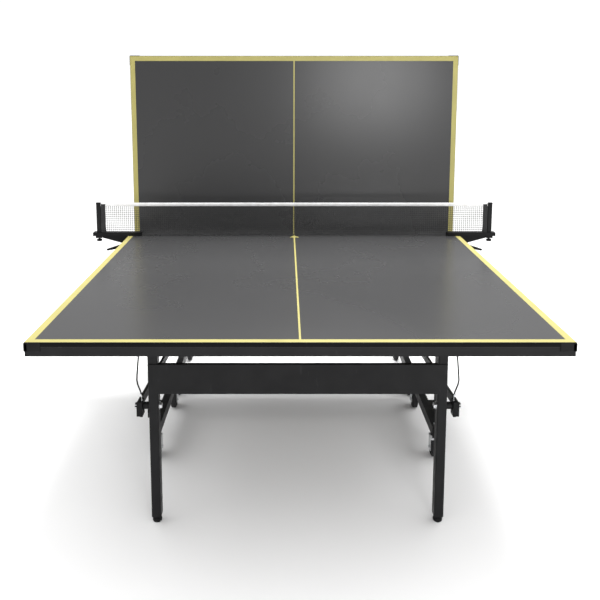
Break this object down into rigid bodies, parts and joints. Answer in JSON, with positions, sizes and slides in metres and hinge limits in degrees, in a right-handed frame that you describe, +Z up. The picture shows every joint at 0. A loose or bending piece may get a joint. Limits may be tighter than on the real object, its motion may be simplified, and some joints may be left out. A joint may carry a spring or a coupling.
{
  "type": "folding table tennis table",
  "caption": "Folding table tennis table in its playback position, with a clip-on net, self-folding legs and trolleys on casters.",
  "frame": {"origin": "middle of the outline, on the floor", "axes": "+X across the table to the right, +Y from the player's end to the folded half, +Z up"},
  "size_m": [1.85, 1.807, 1.581],
  "materials": {
    "board": "satin paint",
    "frame": "powder coat",
    "zinc": "zinc plated",
    "plastic": "moulded",
    "tyre": "matte",
    "netting": "woven cord"
  },
  "bodies": {
    "near_trolley": {"near_side_frame_left": "frame", "near_side_frame_right": "frame", "near_crossbar": "frame"},
    "near_top": {"near_board": "board", "near_top_frame": "frame", "net_bracket_left": "plastic", "net_bracket_right": "plastic"},
    "near_legs": {"near_leg_left": "frame", "near_cable_left": "plastic", "near_leg_right": "frame", "near_cable_right": "plastic", "near_cross_panel": "frame"},
    "near_links": {"near_link_left": "frame", "near_link_right": "frame"},
    "near_lock_left": {"near_lock_left": "plastic"},
    "near_foot_left": {"near_foot_left": "plastic"},
    "near_lock_right": {"near_lock_right": "plastic"},
    "near_foot_right": {"near_foot_right": "plastic"},
    "near_release_handle": {"near_release_handle": "plastic"},
    "near_fork_outer_left": {"near_fork_outer_left": "zinc"},
    "near_wheel_outer_left": {"near_wheel_outer_left": "tyre"},
    "near_fork_outer_right": {"near_fork_outer_right": "zinc"},
    "near_wheel_outer_right": {"near_wheel_outer_right": "tyre"},
    "near_fork_net_left": {"near_fork_net_left": "zinc"},
    "near_wheel_net_left": {"near_wheel_net_left": "tyre"},
    "near_fork_net_right": {"near_fork_net_right": "zinc"},
    "near_wheel_net_right": {"near_wheel_net_right": "tyre"},
    "far_trolley": {"far_side_frame_left": "frame", "far_side_frame_right": "frame", "far_crossbar": "frame"},
    "far_top": {"far_board": "board", "far_top_frame": "frame"},
    "far_legs": {"far_leg_left": "frame", "far_cable_left": "plastic", "far_leg_right": "frame", "far_cable_right": "plastic", "far_cross_panel": "frame"},
    "far_links": {"far_link_left": "frame", "far_link_right": "frame"},
    "far_lock_left": {"far_lock_left": "plastic"},
    "far_foot_left": {"far_foot_left": "plastic"},
    "far_lock_right": {"far_lock_right": "plastic"},
    "far_foot_right": {"far_foot_right": "plastic"},
    "far_release_handle": {"far_release_handle": "plastic"},
    "far_fork_outer_left": {"far_fork_outer_left": "zinc"},
    "far_wheel_outer_left": {"far_wheel_outer_left": "tyre"},
    "far_fork_outer_right": {"far_fork_outer_right": "zinc"},
    "far_wheel_outer_right": {"far_wheel_outer_right": "tyre"},
    "far_fork_net_left": {"far_fork_net_left": "zinc"},
    "far_wheel_net_left": {"far_wheel_net_left": "tyre"},
    "far_fork_net_right": {"far_fork_net_right": "zinc"},
    "far_wheel_net_right": {"far_wheel_net_right": "tyre"},
    "net_lever_left": {"net_lever_left": "plastic"},
    "net_knob_left": {"net_knob_left": "plastic"},
    "net_carrier": {"net_post_left": "frame", "net_post_right": "frame", "net": "netting"},
    "net_lever_right": {"net_lever_right": "plastic"},
    "net_knob_right": {"net_knob_right": "plastic"}
  },
  "joints": [
    {"name": "near_fold", "type": "hinge", "parent": "near_trolley", "child": "near_top", "pos_m": [0, 0.0275, 0.65], "axis": [-1, 0, 0], "range_deg": [0, 90]},
    {"name": "near_leg_fold", "type": "hinge", "parent": "near_top", "child": "near_legs", "pos_m": [0, -0.5525, 0.7], "axis": [-1, 0, 0], "range_deg": [-90, 0]},
    {"name": "near_link_turn", "type": "hinge", "parent": "near_trolley", "child": "near_links", "pos_m": [0, 0.0275, 0.36], "axis": [-1, 0, 0], "range_deg": [0, 90]},
    {"name": "near_release", "type": "hinge", "parent": "near_top", "child": "near_release_handle", "pos_m": [0, -0.8755, 0.727], "axis": [-1, 0, 0], "range_deg": [0, 20], "stiffness_Nm_per_rad": 3, "springref_deg": -17.19},
    {"name": "near_lock_left_slide", "type": "slide", "parent": "near_legs", "child": "near_lock_left", "axis": [0, 0, 1], "range_m": [0, 0.01]},
    {"name": "near_foot_left_turn", "type": "hinge", "parent": "near_legs", "child": "near_foot_left", "pos_m": [-0.473, -0.5535, 0.02], "axis": [0, 0, 1], "range_deg": [0, 360]},
    {"name": "near_swivel_outer_left", "type": "hinge", "parent": "near_trolley", "child": "near_fork_outer_left", "pos_m": [-0.545, -0.1485, 0.09], "axis": [0, 0, 1], "continuous": true},
    {"name": "near_spin_outer_left", "type": "hinge", "parent": "near_fork_outer_left", "child": "near_wheel_outer_left", "pos_m": [-0.545, -0.1285, 0.0375], "axis": [1, 0, 0], "continuous": true},
    {"name": "near_swivel_net_left", "type": "hinge", "parent": "near_trolley", "child": "near_fork_net_left", "pos_m": [-0.545, 0.2775, 0.09], "axis": [0, 0, 1], "continuous": true},
    {"name": "near_spin_net_left", "type": "hinge", "parent": "near_fork_net_left", "child": "near_wheel_net_left", "pos_m": [-0.545, 0.2975, 0.0375], "axis": [1, 0, 0], "continuous": true},
    {"name": "near_lock_right_slide", "type": "slide", "parent": "near_legs", "child": "near_lock_right", "axis": [0, 0, 1], "range_m": [0, 0.01]},
    {"name": "near_foot_right_turn", "type": "hinge", "parent": "near_legs", "child": "near_foot_right", "pos_m": [0.473, -0.5535, 0.02], "axis": [0, 0, 1], "range_deg": [0, 360]},
    {"name": "near_swivel_outer_right", "type": "hinge", "parent": "near_trolley", "child": "near_fork_outer_right", "pos_m": [0.545, -0.1485, 0.09], "axis": [0, 0, 1], "continuous": true},
    {"name": "near_spin_outer_right", "type": "hinge", "parent": "near_fork_outer_right", "child": "near_wheel_outer_right", "pos_m": [0.545, -0.1285, 0.0375], "axis": [1, 0, 0], "continuous": true},
    {"name": "near_swivel_net_right", "type": "hinge", "parent": "near_trolley", "child": "near_fork_net_right", "pos_m": [0.545, 0.2775, 0.09], "axis": [0, 0, 1], "continuous": true},
    {"name": "near_spin_net_right", "type": "hinge", "parent": "near_fork_net_right", "child": "near_wheel_net_right", "pos_m": [0.545, 0.2975, 0.0375], "axis": [1, 0, 0], "continuous": true},
    {"name": "far_unfold", "type": "hinge", "parent": "far_trolley", "child": "far_top", "pos_m": [0, 0.6975, 0.65], "axis": [-1, 0, 0], "range_deg": [0, 90]},
    {"name": "far_leg_fold", "type": "hinge", "parent": "far_top", "child": "far_legs", "pos_m": [0, 0.6475, 1.23], "axis": [-1, 0, 0], "range_deg": [-90, 0]},
    {"name": "far_link_turn", "type": "hinge", "parent": "far_trolley", "child": "far_links", "pos_m": [0, 0.6975, 0.36], "axis": [-1, 0, 0], "range_deg": [0, 90]},
    {"name": "far_roll", "type": "slide", "parent": "near_trolley", "child": "far_trolley", "axis": [0, 1, 0], "range_m": [0, 0.3]},
    {"name": "far_release", "type": "hinge", "parent": "far_top", "child": "far_release_handle", "pos_m": [0, 0.6205, 1.553], "axis": [1, 0, 0], "range_deg": [0, 20], "stiffness_Nm_per_rad": 3, "springref_deg": -17.19},
    {"name": "far_lock_left_slide", "type": "slide", "parent": "far_legs", "child": "far_lock_left", "axis": [0, 0, 1], "range_m": [0, 0.01]},
    {"name": "far_foot_left_turn", "type": "hinge", "parent": "far_legs", "child": "far_foot_left", "pos_m": [-0.473, 0.6485, 0.55], "axis": [0, 0, 1], "range_deg": [0, 360]},
    {"name": "far_swivel_outer_left", "type": "hinge", "parent": "far_trolley", "child": "far_fork_outer_left", "pos_m": [-0.545, 0.8735, 0.09], "axis": [0, 0, 1], "continuous": true},
    {"name": "far_spin_outer_left", "type": "hinge", "parent": "far_fork_outer_left", "child": "far_wheel_outer_left", "pos_m": [-0.545, 0.8535, 0.0375], "axis": [1, 0, 0], "continuous": true},
    {"name": "far_swivel_net_left", "type": "hinge", "parent": "far_trolley", "child": "far_fork_net_left", "pos_m": [-0.545, 0.4475, 0.09], "axis": [0, 0, 1], "continuous": true},
    {"name": "far_spin_net_left", "type": "hinge", "parent": "far_fork_net_left", "child": "far_wheel_net_left", "pos_m": [-0.545, 0.4275, 0.0375], "axis": [1, 0, 0], "continuous": true},
    {"name": "far_lock_right_slide", "type": "slide", "parent": "far_legs", "child": "far_lock_right", "axis": [0, 0, 1], "range_m": [0, 0.01]},
    {"name": "far_foot_right_turn", "type": "hinge", "parent": "far_legs", "child": "far_foot_right", "pos_m": [0.473, 0.6485, 0.55], "axis": [0, 0, 1], "range_deg": [0, 360]},
    {"name": "far_swivel_outer_right", "type": "hinge", "parent": "far_trolley", "child": "far_fork_outer_right", "pos_m": [0.545, 0.8735, 0.09], "axis": [0, 0, 1], "continuous": true},
    {"name": "far_spin_outer_right", "type": "hinge", "parent": "far_fork_outer_right", "child": "far_wheel_outer_right", "pos_m": [0.545, 0.8535, 0.0375], "axis": [1, 0, 0], "continuous": true},
    {"name": "far_swivel_net_right", "type": "hinge", "parent": "far_trolley", "child": "far_fork_net_right", "pos_m": [0.545, 0.4475, 0.09], "axis": [0, 0, 1], "continuous": true},
    {"name": "far_spin_net_right", "type": "hinge", "parent": "far_fork_net_right", "child": "far_wheel_net_right", "pos_m": [0.545, 0.4275, 0.0375], "axis": [1, 0, 0], "continuous": true},
    {"name": "net_height", "type": "slide", "parent": "near_top", "child": "net_carrier", "axis": [0, 0, 1], "range_m": [0, 0.006]},
    {"name": "net_knob_left_turn", "type": "hinge", "parent": "near_top", "child": "net_knob_left", "pos_m": [-0.9, 0.4575, 0.74], "axis": [0, 0, 1], "range_deg": [0, 360]},
    {"name": "net_lever_left_open", "type": "hinge", "parent": "near_top", "child": "net_lever_left", "pos_m": [-0.775, 0.4375, 0.71], "axis": [0, 1, 0], "range_deg": [0, 10], "stiffness_Nm_per_rad": 2, "springref_deg": -17.19},
    {"name": "net_knob_right_turn", "type": "hinge", "parent": "near_top", "child": "net_knob_right", "pos_m": [0.9, 0.4575, 0.74], "axis": [0, 0, 1], "range_deg": [0, 360]},
    {"name": "net_lever_right_open", "type": "hinge", "parent": "near_top", "child": "net_lever_right", "pos_m": [0.775, 0.4375, 0.71], "axis": [0, -1, 0], "range_deg": [0, 10], "stiffness_Nm_per_rad": 2, "springref_deg": -17.19}
  ],
  "couplings": [
    {"joint": "near_leg_fold", "follows": "near_fold", "ratio": -1},
    {"joint": "near_link_turn", "follows": "near_fold", "ratio": 1},
    {"joint": "near_lock_left_slide", "follows": "near_release", "m_per_rad": 0.0286},
    {"joint": "near_lock_right_slide", "follows": "near_release", "m_per_rad": 0.0286},
    {"joint": "far_leg_fold", "follows": "far_unfold", "ratio": -1},
    {"joint": "far_link_turn", "follows": "far_unfold", "ratio": 1},
    {"joint": "far_roll", "follows": "far_unfold", "m_per_rad": 0.1909},
    {"joint": "far_lock_left_slide", "follows": "far_release", "m_per_rad": 0.0286},
    {"joint": "far_lock_right_slide", "follows": "far_release", "m_per_rad": 0.0286},
    {"joint": "net_knob_left_turn", "follows": "net_height", "rad_per_m": 1047},
    {"joint": "net_knob_right_turn", "follows": "net_height", "rad_per_m": 1047}
  ]
}
